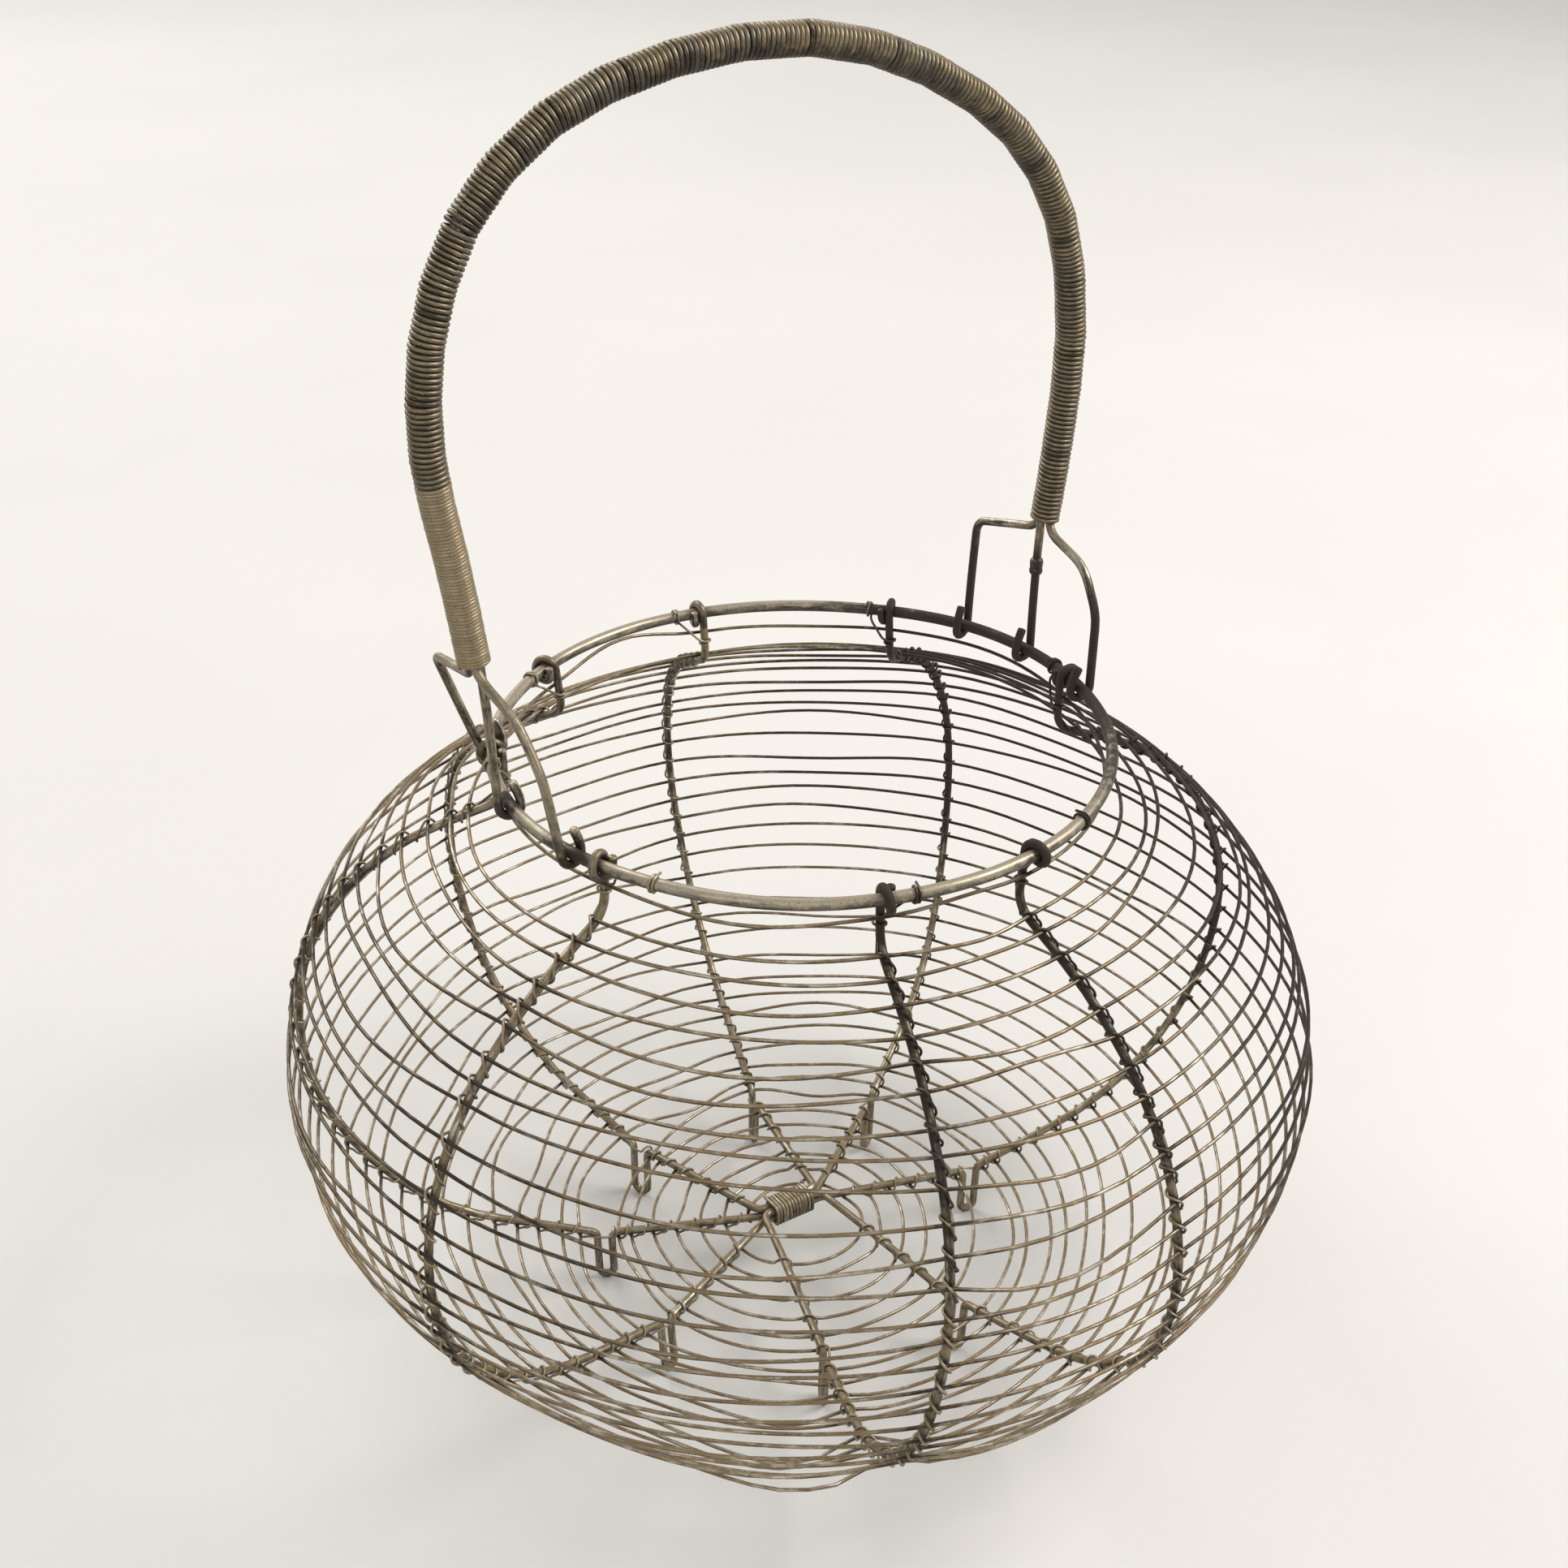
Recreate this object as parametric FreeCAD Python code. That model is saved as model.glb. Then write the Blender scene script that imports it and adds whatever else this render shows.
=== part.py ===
"""Wire egg collection basket: a bulging woven wire bowl with a rim ring, eight ribs and a tall wrapped handle.

Millimetres. The origin is on the basket's axis, in the plane that its eight feet stand on. +Z is up and X runs
along the handle's span. Azimuths are in degrees, anticlockwise from +X as seen from above.
"""

import math
import os

import FreeCAD
import Part

Vector = FreeCAD.Vector
Z_AXIS = Vector(0, 0, 1)

# Wires, by diameter
rim_wire = 3.6
rib_wire = 2.4
handle_wire = 2.7
weft_wire = 1.1
binding_wire = 1.2
touch_gap = 0.05

# Rim
rim_radius = 90.0
rim_height = 205.0

# Bowl, as the centreline of a rib: neck, sloping shoulder, round belly, sloping flank and flat base
neck_radius = rim_radius - rim_wire / 2 - rib_wire / 2 - touch_gap
shoulder_height = 188.5
belly_centre_radius = 76.0
belly_centre_height = 106.3
belly_arc_radius = 80.3
base_height = 19.8
foot_circle_radius = 64.8
belly_steps = 10
neck_bend_radius = 7.2

# Eye of a rib on the rim: how far each quarter turn moves it round the rim, and where its cut end stops
eye_quarter_advance = 0.72
eye_end_quarters = 4.3

# Feet: a hairpin in each rib, with one leg inside the other
foot_leg_gap = 5.6

# Azimuth of each rib at the rim, at the belly and at the foot
rib_azimuths = {
    1: (78.7, 75.5, 71.5),
    2: (37.4, 36.0, 34.0),
    3: (-9.8, -9.5, -10.5),
    4: (-79.6, -82.0, -70.5),
    5: (-109.1, -109.0, -115.5),
    6: (-159.4, -162.0, -162.5),
    7: (154.0, 153.0, 156.0),
    8: (119.2, 109.5, 115.5),
}

# The two ribs that each rib wire makes, and its side (y) and level (z) in the bundle at the hub
rib_pairs = {1: (1, 8, 1, 1), 2: (2, 7, 1, -1), 3: (3, 6, -1, -1), 4: (4, 5, -1, 1)}
hub_offset = 5.0
hub_height = base_height + rib_wire / 2 + touch_gap
hub_half_length = 8.0
hub_fan = 3.0
hub_turns = 12
hub_binding_bend = 1.8

# Lashings: how far each one's collar sits round the rim from its rib, and its grip on the neck below the rim
collar_distance = {1: 8.0, 2: 7.5, 3: 8.0, 4: 22.0, 5: 8.5, 6: 18.0, 7: 8.0, 8: 8.5}
lashing_wire = 0.8
collar_turns = 2
collar_quarter_advance = 0.24
grip_drop = 8.4
grip_corners_count = 6
grip_fall = 0.3
grip_near = 5.5

# A lashing's turn at a course: its corners' distances along the rib from the course, two outside and two inside
lashing_side = 1.9
lashing_steps = (-2.0, 2.0, 3.8, 5.2)
unlashed_course = 31
last_lashed_course = 36
foot_side = 2.7
foot_near = 7.0

# Weft: courses along the rib's centreline, counted from the rim
neck_strand_at = 6.5
first_course_at = 22.0
course_pitch = 8.0
course_groups = {
    "wall_weft_upper": range(0, 9),
    "wall_weft_belly": range(9, 20),
    "wall_weft_lower": range(20, 31),
    "base_weft": range(31, 38),
}

# Handle: corners of the grip's centreline, as (x, z), from its left end to its right end
handle_offset = 8.6
grip_corners = [
    (-97.0, 249.5), (-100.5, 281.0), (-106.0, 309.0), (-104.5, 337.0), (-92.5, 365.5), (-67.5, 388.0),
    (-33.0, 398.5), (7.0, 399.0), (44.5, 388.0), (75.5, 369.0), (93.5, 342.5), (100.5, 306.0),
    (96.5, 272.0), (93.4, 247.5),
]
wrap_diameter = 9.2
wrap_wire = 1.4

# The three core wires in the grip: side of the centreline (y), and distance outside the arch's centreline
core_places = {"back": (1.42, 0.8), "middle": (0.0, -1.65), "front": (-1.42, 0.8)}

# Legs, where the core wires spread below the grip: corners (x, y, z) from the grip down, then a hook's azimuth
leg_corners = {
    "back": ([(-96.6, 14.0, 244.5), (-95.0, 40.0, 238.5)], [(93.0, 14.0, 244.0), (91.0, 38.0, 238.0)]),
    "middle": ([], []),
    "front": (
        [(-96.6, 4.0, 245.5), (-95.6, -13.0, 242.0), (-94.0, -23.0, 229.0)],
        [(93.0, 3.5, 244.5), (92.5, -13.0, 240.5), (91.5, -21.5, 228.0)],
    ),
}
leg_bends = {"back": 4.0, "middle": 4.0, "front": 14.0}
hook_azimuths = {"back": (150.3, 21.5), "middle": (174.5, 5.5), "front": (195.0, -14.0)}
hook_tip_rise = 6.5

# Splice bead on the right middle leg
splice_height = 232.5
splice_length = 4.6
splice_diameter = 4.1


def polar(radius, azimuth, z):
    """A point from its distance from the axis, its azimuth in degrees and its height."""
    angle = math.radians(azimuth)
    return Vector(radius * math.cos(angle), radius * math.sin(angle), z)


def bent_wire(corners, diameter, share=0.49):
    """A round wire through straight runs and tangent arcs. A corner is a point, or a point and its bend's radius.
    With no radius given, and where the runs are short, the arc is the largest that a share of a run allows."""
    points = [corner[0] if isinstance(corner, tuple) else corner for corner in corners]
    bends = [corner[1] if isinstance(corner, tuple) else math.inf for corner in corners]
    edges = []
    start = points[0]
    for before, point, after, bend in zip(points, points[1:], points[2:], bends[1:]):
        into = (point - before).normalize()
        out = (after - point).normalize()
        half_turn = into.getAngle(out) / 2
        longest = share * min((point - before).Length, (after - point).Length)
        radius = min(bend, longest / math.tan(half_turn))
        tangent = radius * math.tan(half_turn)
        middle = point + (out - into).normalize() * (radius / math.cos(half_turn) - radius)
        arc_start = point - into * tangent
        arc_end = point + out * tangent
        edges.append(Part.LineSegment(start, arc_start).toShape())
        edges.append(Part.Arc(arc_start, middle, arc_end).toShape())
        start = arc_end
    edges.append(Part.LineSegment(start, points[-1]).toShape())
    path = Part.Wire(edges)
    section = Part.Wire(Part.makeCircle(diameter / 2, points[0], points[1] - points[0]))
    solid = path.makePipeShell([section], True, False)
    expected = math.pi * diameter**2 / 4 * path.Length
    if not solid.isValid() or abs(solid.Volume / expected - 1) > 0.02:
        raise ValueError(f"bad wire: volume {solid.Volume:.1f}, expected {expected:.1f}")
    return solid


def ring(radius, z, diameter):
    """A closed ring of round wire about the basket's axis."""
    return Part.makeTorus(radius, diameter / 2, Vector(0, 0, z), Z_AXIS)


def tangent_angle(radius, z, side):
    """The angle on the belly arc where the line from the point (radius, z) touches it."""
    out = radius - belly_centre_radius
    up = z - belly_centre_height
    return math.atan2(up, out) + side * math.acos(belly_arc_radius / math.hypot(out, up))


def belly_point(angle, reach=belly_arc_radius):
    """(radius, z) at an angle on the belly arc, or on a line out from its centre."""
    return (belly_centre_radius + reach * math.cos(angle), belly_centre_height + reach * math.sin(angle))


belly_top_angle = tangent_angle(neck_radius, shoulder_height, -1)
belly_end_angle = tangent_angle(foot_circle_radius, base_height, 1)
neck_bend = (neck_radius, shoulder_height)
foot_bend = (foot_circle_radius, base_height)
neck_length = rim_height - shoulder_height
belly_start = neck_length + math.dist(neck_bend, belly_point(belly_top_angle))
belly_end = belly_start + belly_arc_radius * (belly_top_angle - belly_end_angle)
wall_length = belly_end + math.dist(belly_point(belly_end_angle), foot_bend)


def profile(distance):
    """(radius, z, angle of the outward normal) of a rib's centreline, at a distance along it from the rim."""
    if distance < neck_length:
        return (neck_radius, rim_height - distance, 0.0)
    if distance > wall_length:
        return (foot_circle_radius - (distance - wall_length), base_height, -math.pi / 2)
    angle = belly_top_angle - (min(max(distance, belly_start), belly_end) - belly_start) / belly_arc_radius
    past = distance - min(max(distance, belly_start), belly_end)
    radius, z = belly_point(angle)
    return (radius + past * math.sin(angle), z - past * math.cos(angle), angle)


def rib_azimuth(rib, distance):
    """A rib's azimuth at a distance along it: one smooth curve through its values at rim, belly and foot."""
    top, belly, foot = rib_azimuths[rib]
    share = min(distance / wall_length, 1.0)
    return top * (1 - share) * (1 - 2 * share) + 4 * belly * share * (1 - share) + foot * share * (2 * share - 1)


def rim_loop(azimuth, quarters, half_side, advance):
    """Corners of a square coil round the rim wire: up inside it, over, down outside and under. Each quarter turn
    moves it by advance round the rim."""
    corners = []
    for quarter in range(quarters):
        turn = math.radians(135 - 90 * quarter)
        out = math.copysign(half_side, math.cos(turn))
        up = math.copysign(half_side, math.sin(turn))
        along = math.degrees((quarter + 0.5) * advance / rim_radius)
        corners.append(polar(rim_radius + out, azimuth + along, rim_height + up))
    return corners


def rib_corners(rib, hub_end):
    """Corners of one rib, from the cut end of its eye on the rim, down the wall and foot, to the hub."""
    half_side = rim_radius - neck_radius
    top = rib_azimuth(rib, 0)
    end_azimuth = top + math.degrees(eye_end_quarters * eye_quarter_advance / rim_radius)
    tip = polar(neck_radius, end_azimuth, rim_height + half_side / 2)
    corners = [tip] + rim_loop(top, 4, half_side, eye_quarter_advance)[::-1]
    corners.append((polar(neck_radius, rib_azimuth(rib, neck_length), shoulder_height), neck_bend_radius))
    step = (belly_top_angle - belly_end_angle) / belly_steps
    for number in range(belly_steps):
        angle = belly_top_angle - (number + 0.5) * step
        radius, z = belly_point(angle, belly_arc_radius / math.cos(step / 2))
        distance = belly_start + (number + 0.5) * step * belly_arc_radius
        corners.append(polar(radius, rib_azimuth(rib, distance), z))
    foot = rib_azimuth(rib, wall_length)
    half_gap = foot_leg_gap / 2
    outer_radius, outer_top, _ = profile(wall_length - half_gap / math.sin(-belly_end_angle))
    corners.append((polar(outer_radius, foot, outer_top), half_gap))
    corners.append((polar(outer_radius, foot, rib_wire / 2), half_gap))
    corners.append((polar(foot_circle_radius - half_gap, foot, rib_wire / 2), half_gap))
    corners.append((polar(foot_circle_radius - half_gap, foot, base_height), half_gap))
    corners.append((hub_end, hub_fan))
    return corners


def hub_end(rib):
    """Where a rib meets the bundle at the hub."""
    right, left, side, level = next(pair for pair in rib_pairs.values() if rib in pair[:2])
    reach = (hub_half_length + hub_fan) * (1 if rib == right else -1)
    lift = rib_wire / 2 + touch_gap
    return Vector(reach, hub_offset + side * lift, hub_height + level * lift)


def make_rib_wires():
    """Four wires. Each makes two ribs with their eyes and feet, and runs through the bundle at the hub."""
    shapes = {}
    for number, (right, left, _, _) in rib_pairs.items():
        corners = rib_corners(right, hub_end(right)) + rib_corners(left, hub_end(left))[::-1]
        shapes[f"rib_wire_{number}"] = bent_wire(corners, rib_wire)
    return shapes


def make_hub_binding():
    """The close coil that binds the four rib wires at the middle of the base."""
    half_side = rib_wire + 2 * touch_gap + binding_wire / 2
    advance = (2 * hub_half_length - binding_wire) / (4 * hub_turns)
    corners = []
    for quarter in range(4 * hub_turns + 1):
        turn = math.radians(45 + 90 * quarter)
        y = hub_offset + math.copysign(half_side, math.cos(turn))
        z = hub_height + math.copysign(half_side, math.sin(turn))
        corners.append((Vector(quarter * advance - 2 * hub_turns * advance, y, z), hub_binding_bend))
    return bent_wire(corners, binding_wire)


def rib_line(rib, distance):
    """A point on a rib's centreline. On the base each rib runs straight from its foot's inner leg to the hub."""
    radius, z, _ = profile(distance)
    azimuth = rib_azimuth(rib, distance)
    if distance <= wall_length:
        return polar(radius, azimuth, z)
    start = polar(foot_circle_radius - foot_leg_gap / 2, azimuth, z)
    run = hub_end(rib) - start
    flat = Vector(run.x, run.y, 0)
    back = start.dot(flat)
    root = math.sqrt(back**2 - flat.dot(flat) * (start.x**2 + start.y**2 - radius**2))
    return start + run * ((-back - root) / flat.dot(flat))


def beside_rib(rib, distance, side, out):
    """A point near a rib: so far along it, to its right as seen from outside, and out from it. On the base, a
    point outside the rib is measured from the weft's level, as the ribs rise and fall into their bundle."""
    _, z, angle = profile(distance)
    outwards = polar(math.cos(angle), rib_azimuth(rib, distance), math.sin(angle))
    aside = outwards.cross(rib_line(rib, distance + 1) - rib_line(rib, distance - 1)).normalize()
    centre = rib_line(rib, distance)
    if out > 0:
        centre.z = z
    return centre + aside * side + outwards * out


def course_place(number):
    """A course's distance along the rib. The one that is not lashed runs between the legs of the feet."""
    if number == unlashed_course:
        return wall_length + touch_gap
    return first_course_at + course_pitch * number


def make_lashings():
    """Fine wires. Each makes a collar on the rim beside an eye, grips the rib's neck below it, and winds down the
    rib to the hub, once over the outside of the weft at each course. It passes the legs of the foot on one side."""
    shapes = {}
    half_side = rim_wire / 2 + lashing_wire / 2 + touch_gap
    grip = rib_wire / 2 + lashing_wire / 2 + touch_gap
    over_weft = rib_wire / 2 + weft_wire + lashing_wire / 2 + 3 * touch_gap
    lashed = [course_place(n) for n in range(last_lashed_course + 1) if n != unlashed_course]
    for rib, distance in collar_distance.items():
        azimuth = rib_azimuth(rib, 0)
        collar = azimuth + math.degrees((distance + collar_turns * lashing_wire) / rim_radius)
        corners = rim_loop(collar, 4 * collar_turns, half_side, -collar_quarter_advance)
        if distance > 2 * grip_near:
            near = azimuth + math.degrees(grip_near / rim_radius)
            corners.append(polar(rim_radius - half_side, near, rim_height - half_side))
        square = ((lashing_side, -grip), (-lashing_side, -grip), (-lashing_side, grip), (lashing_side, grip))
        for number in range(grip_corners_count):
            side, out = square[number % 4]
            corners.append(beside_rib(rib, grip_drop + number * grip_fall, side, out))
        for course in lashed:
            sides = ((-1, over_weft), (1, over_weft), (1, -grip), (-1, -grip))
            for step, (side, out) in zip(lashing_steps, sides):
                place = course + step
                reach = foot_side if abs(place - wall_length) < foot_near else lashing_side
                corners.append(beside_rib(rib, place, side * reach, out))
        shapes[f"rib_lashing_{rib}"] = bent_wire(corners, lashing_wire)
    return shapes


def weft_ring(distance):
    """One turn of the weft, closed as a ring, lying on the outside of the ribs."""
    radius, z, angle = profile(distance)
    out = rib_wire / 2 + weft_wire / 2 + touch_gap
    return ring(radius + out * math.cos(angle), z + out * math.sin(angle), weft_wire)


def make_weft():
    """The strand at the neck, and the wall's and base's courses in groups."""
    shapes = {"neck_strand": weft_ring(neck_strand_at)}
    for name, courses in course_groups.items():
        shapes[name] = Part.makeCompound([weft_ring(course_place(number)) for number in courses])
    return shapes


def grip_line(distance_out):
    """The grip's corners, moved outwards from the arch's centreline, as (x, z)."""
    line = [Vector(x, 0, z) for x, z in grip_corners]
    moved = []
    for number, point in enumerate(line):
        into = (point - line[max(number - 1, 0)]) if number else line[1] - line[0]
        out = (line[number + 1] - point) if number < len(line) - 1 else into
        normal = (into.normalize() + out.normalize()).cross(Vector(0, 1, 0)) * -1
        moved.append(point + normal.normalize() * distance_out)
    return [(point.x, point.z) for point in moved]


def hook_corners(azimuth):
    """Corners of a hook on the rim: down outside it, under it and up inside to a cut end."""
    half_side = rim_wire / 2 + handle_wire / 2 + touch_gap
    low = rim_height - half_side
    outside = polar(rim_radius + half_side, azimuth, low)
    inside = polar(rim_radius - half_side, azimuth, low)
    tip = polar(rim_radius - half_side, azimuth, rim_height + hook_tip_rise)
    return [outside, inside, tip]


def core_corners(name):
    """Corners of one core wire, from its left hook's cut end over the grip to its right hook's cut end."""
    side, distance_out = core_places[name]
    grip = [Vector(x, handle_offset + side, z) for x, z in grip_line(distance_out)]
    ends = []
    for azimuth, leg in zip(hook_azimuths[name], leg_corners[name]):
        bends = [(Vector(*corner), leg_bends[name]) for corner in leg]
        ends.append(bends + hook_corners(azimuth))
    left, right = ends
    return left[::-1] + grip + right


def make_handle():
    """Three core wires with their legs and hooks, the wrap as a sleeve, and a splice bead on one leg."""
    shapes = {f"handle_core_{name}": bent_wire(core_corners(name), handle_wire) for name in core_places}
    grip = [Vector(x, handle_offset, z) for x, z in grip_corners]
    sleeve = bent_wire(grip, wrap_diameter)
    shapes["handle_wrap"] = sleeve.cut(bent_wire(grip, wrap_diameter - 2 * wrap_wire))
    top, bottom = core_corners("middle")[-4], core_corners("middle")[-3]
    along = (bottom - top).normalize()
    start = top + along * ((splice_height + splice_length / 2 - top.z) / along.z)
    bead = Part.makeCylinder(splice_diameter / 2, splice_length, start, along)
    hole = Part.makeCylinder(handle_wire / 2 + touch_gap, splice_length, start, along)
    shapes["handle_splice"] = bead.cut(hole)
    return shapes


def main():
    """Builds every piece and writes one STEP file for each."""
    shapes = {"rim_ring": ring(rim_radius, rim_height, rim_wire)}
    shapes.update(make_rib_wires())
    shapes["hub_binding"] = make_hub_binding()
    shapes.update(make_lashings())
    shapes.update(make_weft())
    shapes.update(make_handle())
    os.makedirs("parts", exist_ok=True)
    for name, shape in shapes.items():
        shape.exportStep(f"parts/{name}.step")
        print(f"{name}: {len(shape.Solids)} solids, {shape.Volume:.0f} mm3")


main()
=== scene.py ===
"""Wire egg collection basket: its looks, built around the packed CAD model.

Metres, in the model's own frame: the origin is on the basket's axis in the plane that its feet stand on, +Z is
up and X runs along the span of the handle. Azimuths are in degrees, anticlockwise from +X as seen from above. A
place on the bowl is a distance along a rib from the rim, and an azimuth.
"""

import math
import random

import bpy
import numpy as np
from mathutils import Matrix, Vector


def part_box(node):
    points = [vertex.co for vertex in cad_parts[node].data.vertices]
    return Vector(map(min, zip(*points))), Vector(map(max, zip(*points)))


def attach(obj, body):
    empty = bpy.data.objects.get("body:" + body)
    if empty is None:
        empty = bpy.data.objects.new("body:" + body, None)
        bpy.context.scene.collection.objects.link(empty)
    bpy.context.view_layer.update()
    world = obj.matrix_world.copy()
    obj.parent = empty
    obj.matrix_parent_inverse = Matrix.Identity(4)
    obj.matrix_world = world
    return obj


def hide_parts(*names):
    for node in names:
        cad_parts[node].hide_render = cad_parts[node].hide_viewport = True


bl_info = {
    "name": "Wire Egg Basket",
    "version": (1, 0, 0),
    "blender": (4, 5, 0),
    "location": "3D View > Sidebar > Egg Basket",
    "description": "Builds a woven wire egg basket with a wrapped handle around its CAD frame",
    "category": "Add Mesh",
}

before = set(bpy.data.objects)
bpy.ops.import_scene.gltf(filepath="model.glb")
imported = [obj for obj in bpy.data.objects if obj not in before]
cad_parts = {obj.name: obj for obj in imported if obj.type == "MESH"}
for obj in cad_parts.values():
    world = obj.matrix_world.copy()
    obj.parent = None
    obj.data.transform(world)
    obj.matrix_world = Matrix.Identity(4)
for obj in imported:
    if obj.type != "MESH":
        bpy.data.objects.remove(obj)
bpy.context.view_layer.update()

MM = 0.001
FULL_TURN = 2 * math.pi
Z_AXIS = np.array((0.0, 0.0, 1.0))

# Azimuth of each rib at the rim, at the belly and at the foot
RIB_AZIMUTHS = {
    1: (78.7, 75.5, 71.5),
    2: (37.4, 36.0, 34.0),
    3: (-9.8, -9.5, -10.5),
    4: (-79.6, -82.0, -70.5),
    5: (-109.1, -109.0, -115.5),
    6: (-159.4, -162.0, -162.5),
    7: (154.0, 153.0, 156.0),
    8: (119.2, 109.5, 115.5),
}
# The ribs in order of azimuth, as the weft meets them
RIB_ORDER = (6, 5, 4, 3, 2, 1, 8, 7)
# The ribs before which the weft has sagged, low on the wall: its share of the sag, and the power that
# moves the sag towards that rib
SAGGING = {5: (1.0, 2.6), 4: (0.5, 0.4)}
# Where down a rib the weft has sagged most, and how far up and down from there
SAG_PLACE, SAG_REACH = 218 * MM, 30 * MM
# The shoulder has sunk at the back: how far, in wanders, round which azimuth, and over how many degrees
SHOULDER_SINK, SINK_AZIMUTH, SINK_SPREAD = 6.5, 102, 34
# The ribs whose upper halves are nearly black
BLACKENED = (4, 5)
# The two ribs of each rib wire, and its side (y) and level (z) in the bundle at the hub
RIB_PAIRS = {1: (1, 8, 1, 1), 2: (2, 7, 1, -1), 3: (3, 6, -1, -1), 4: (4, 5, -1, 1)}
# How far each lashing's collar sits round the rim from its rib
COLLAR_DISTANCE = {1: 8.0, 2: 7.5, 3: 8.0, 4: 22.0, 5: 8.5, 6: 18.0, 7: 8.0, 8: 8.5}

# Corners of the grip's centreline, as (x, z) in millimetres, from its left end to its right end
GRIP_CORNERS = (
    (-97.0, 249.5), (-100.5, 281.0), (-106.0, 309.0), (-104.5, 337.0), (-92.5, 365.5), (-67.5, 388.0),
    (-33.0, 398.5), (7.0, 399.0), (44.5, 388.0), (75.5, 369.0), (93.5, 342.5), (100.5, 306.0),
    (96.5, 272.0), (93.4, 247.5),
)
# The three core wires in the grip: side of the centreline (y), and distance outside it
CORE_PLACES = {"back": (1.42, 0.8), "middle": (0.0, -1.65), "front": (-1.42, 0.8)}
# Legs below the grip: corners (x, y, z) from the grip down, for the left and the right leg of each core wire
LEG_CORNERS = {
    "back": (((-96.6, 14.0, 244.5), (-95.0, 40.0, 238.5)), ((93.0, 14.0, 244.0), (91.0, 38.0, 238.0))),
    "middle": ((), ()),
    "front": (
        ((-96.6, 4.0, 245.5), (-95.6, -13.0, 242.0), (-94.0, -23.0, 229.0)),
        ((93.0, 3.5, 244.5), (92.5, -13.0, 240.5), (91.5, -21.5, 228.0)),
    ),
}
LEG_BENDS = {"back": 4.0, "middle": 4.0, "front": 14.0}
HOOK_AZIMUTHS = {"back": (150.3, 21.5), "middle": (174.5, 5.5), "front": (195.0, -14.0)}
HOOKED = [azimuth for pair in HOOK_AZIMUTHS.values() for azimuth in pair]


def length(name, description, millimetres):
    """A length property with its default in millimetres."""
    return bpy.props.FloatProperty(
        name=name, description=description, default=millimetres * MM, subtype="DISTANCE", unit="LENGTH"
    )


def colour(name, description, default):
    """A linear colour property."""
    return bpy.props.FloatVectorProperty(
        name=name, description=description, default=default, subtype="COLOR", size=3, min=0.0, max=1.0
    )


RIM_LOW, RIM_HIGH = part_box("rim_ring")


class BasketSizes(bpy.types.PropertyGroup):
    """Sizes of the rim, ribs and feet."""

    rim_wire: length("Rim wire", "Diameter of the rim's rod", (RIM_HIGH.z - RIM_LOW.z) / MM)
    rim_radius: length(
        "Rim radius", "Radius of the rim's centreline", (RIM_HIGH.x - (RIM_HIGH.z - RIM_LOW.z) / 2) / MM
    )
    rim_height: length("Rim height", "Height of the rim's centreline", (RIM_HIGH.z + RIM_LOW.z) / 2 / MM)
    rib_wire: length("Rib wire", "Diameter of the rib wires", 2.6)
    gap: length("Gap", "Clearance between wires that touch", 0.05)
    shoulder_height: length("Shoulder height", "Height where the neck bends out into the shoulder", 188.5)
    belly_centre_radius: length("Belly centre radius", "Radius of the centre of the belly's arc", 76.0)
    belly_centre_height: length("Belly centre height", "Height of the centre of the belly's arc", 106.3)
    belly_arc: length("Belly arc", "Radius of the belly's arc", 80.3)
    base_height: length("Base height", "Height of the flat base", 19.8)
    foot_radius: length("Foot radius", "Radius of the circle of feet", 64.8)
    foot_gap: length("Foot gap", "Distance between the legs of a foot", 5.6)
    hub_offset: length("Hub offset", "How far the hub lies to the back", 5.0)
    hub_half: length("Hub half length", "Half of the length of the hub's binding", 8.0)
    hub_fan: length("Hub fan", "Bend of the ribs where they leave the hub", 3.0)
    hub_turns: bpy.props.IntProperty(name="Hub turns", description="Turns of the hub's binding", default=12)
    binding_wire: length("Binding wire", "Diameter of the hub's binding wire", 1.2)
    lashing_wire: length("Lashing wire", "Diameter of the wires that lash the weft to the ribs", 0.8)
    grip_drop: length("Grip drop", "How far below the rim a lashing grips the neck", 8.4)
    grip_near: length("Grip near", "Where a lashing from a far collar comes back to its neck", 5.5)
    wander: length("Wander", "How far hand bending moves the whole shape from true", 0.5)


class WeftSizes(bpy.types.PropertyGroup):
    """Sizes of the woven courses."""

    wire: length("Weft wire", "Diameter of the weft", 1.1)
    first: length("First crossing", "Distance of the weft's first crossing from the rim", 20.0)
    pitch: length("Pitch", "Distance between courses", 7.9)
    turns: bpy.props.IntProperty(name="Courses", description="Turns of the weft's spiral", default=38)
    uneven: length("Unevenness", "Typical departure of a crossing from its even place", 1.5)
    dip: length("Dip", "Typical dip of a strand between two ribs", 2.3)
    sag: length("Sag", "How far the strands have sagged at the low front", 6.2)
    foot_clear: length("Foot clearance", "How far a crossing keeps from the middle of a foot", 4.8)
    lashing_end: length("Lashing end", "How far a lashing runs on past its last course", 7.0)
    neck: length("Neck strand", "Distance of the neck strand from the rim", 6.3)
    seed: bpy.props.IntProperty(name="Seed", description="Seed of the irregularities", default=7)


class HandleSizes(bpy.types.PropertyGroup):
    """Sizes of the handle."""

    wire: length("Core wire", "Diameter of the three core wires", 2.7)
    offset: length("Offset", "How far the handle's plane lies to the back", 8.6)
    wrap: length("Wrap diameter", "Outer diameter of the wrapped grip", 9.2)
    wrap_wire: length("Wrap wire", "Diameter of the wrap's wire", 1.4)
    close_wound: length("Close wound", "Length of the wrap's left end that is wound closer", 52.0)
    tip_rise: length("Hook tip", "How far a hook's cut end stands above the rim's middle", 6.5)
    splice_height: length("Splice height", "Height of the splice's middle", 232.5)
    splice_length: length("Splice length", "Length of the splice", 4.6)
    splice_diameter: length("Splice diameter", "Diameter of the splice", 4.1)


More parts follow.
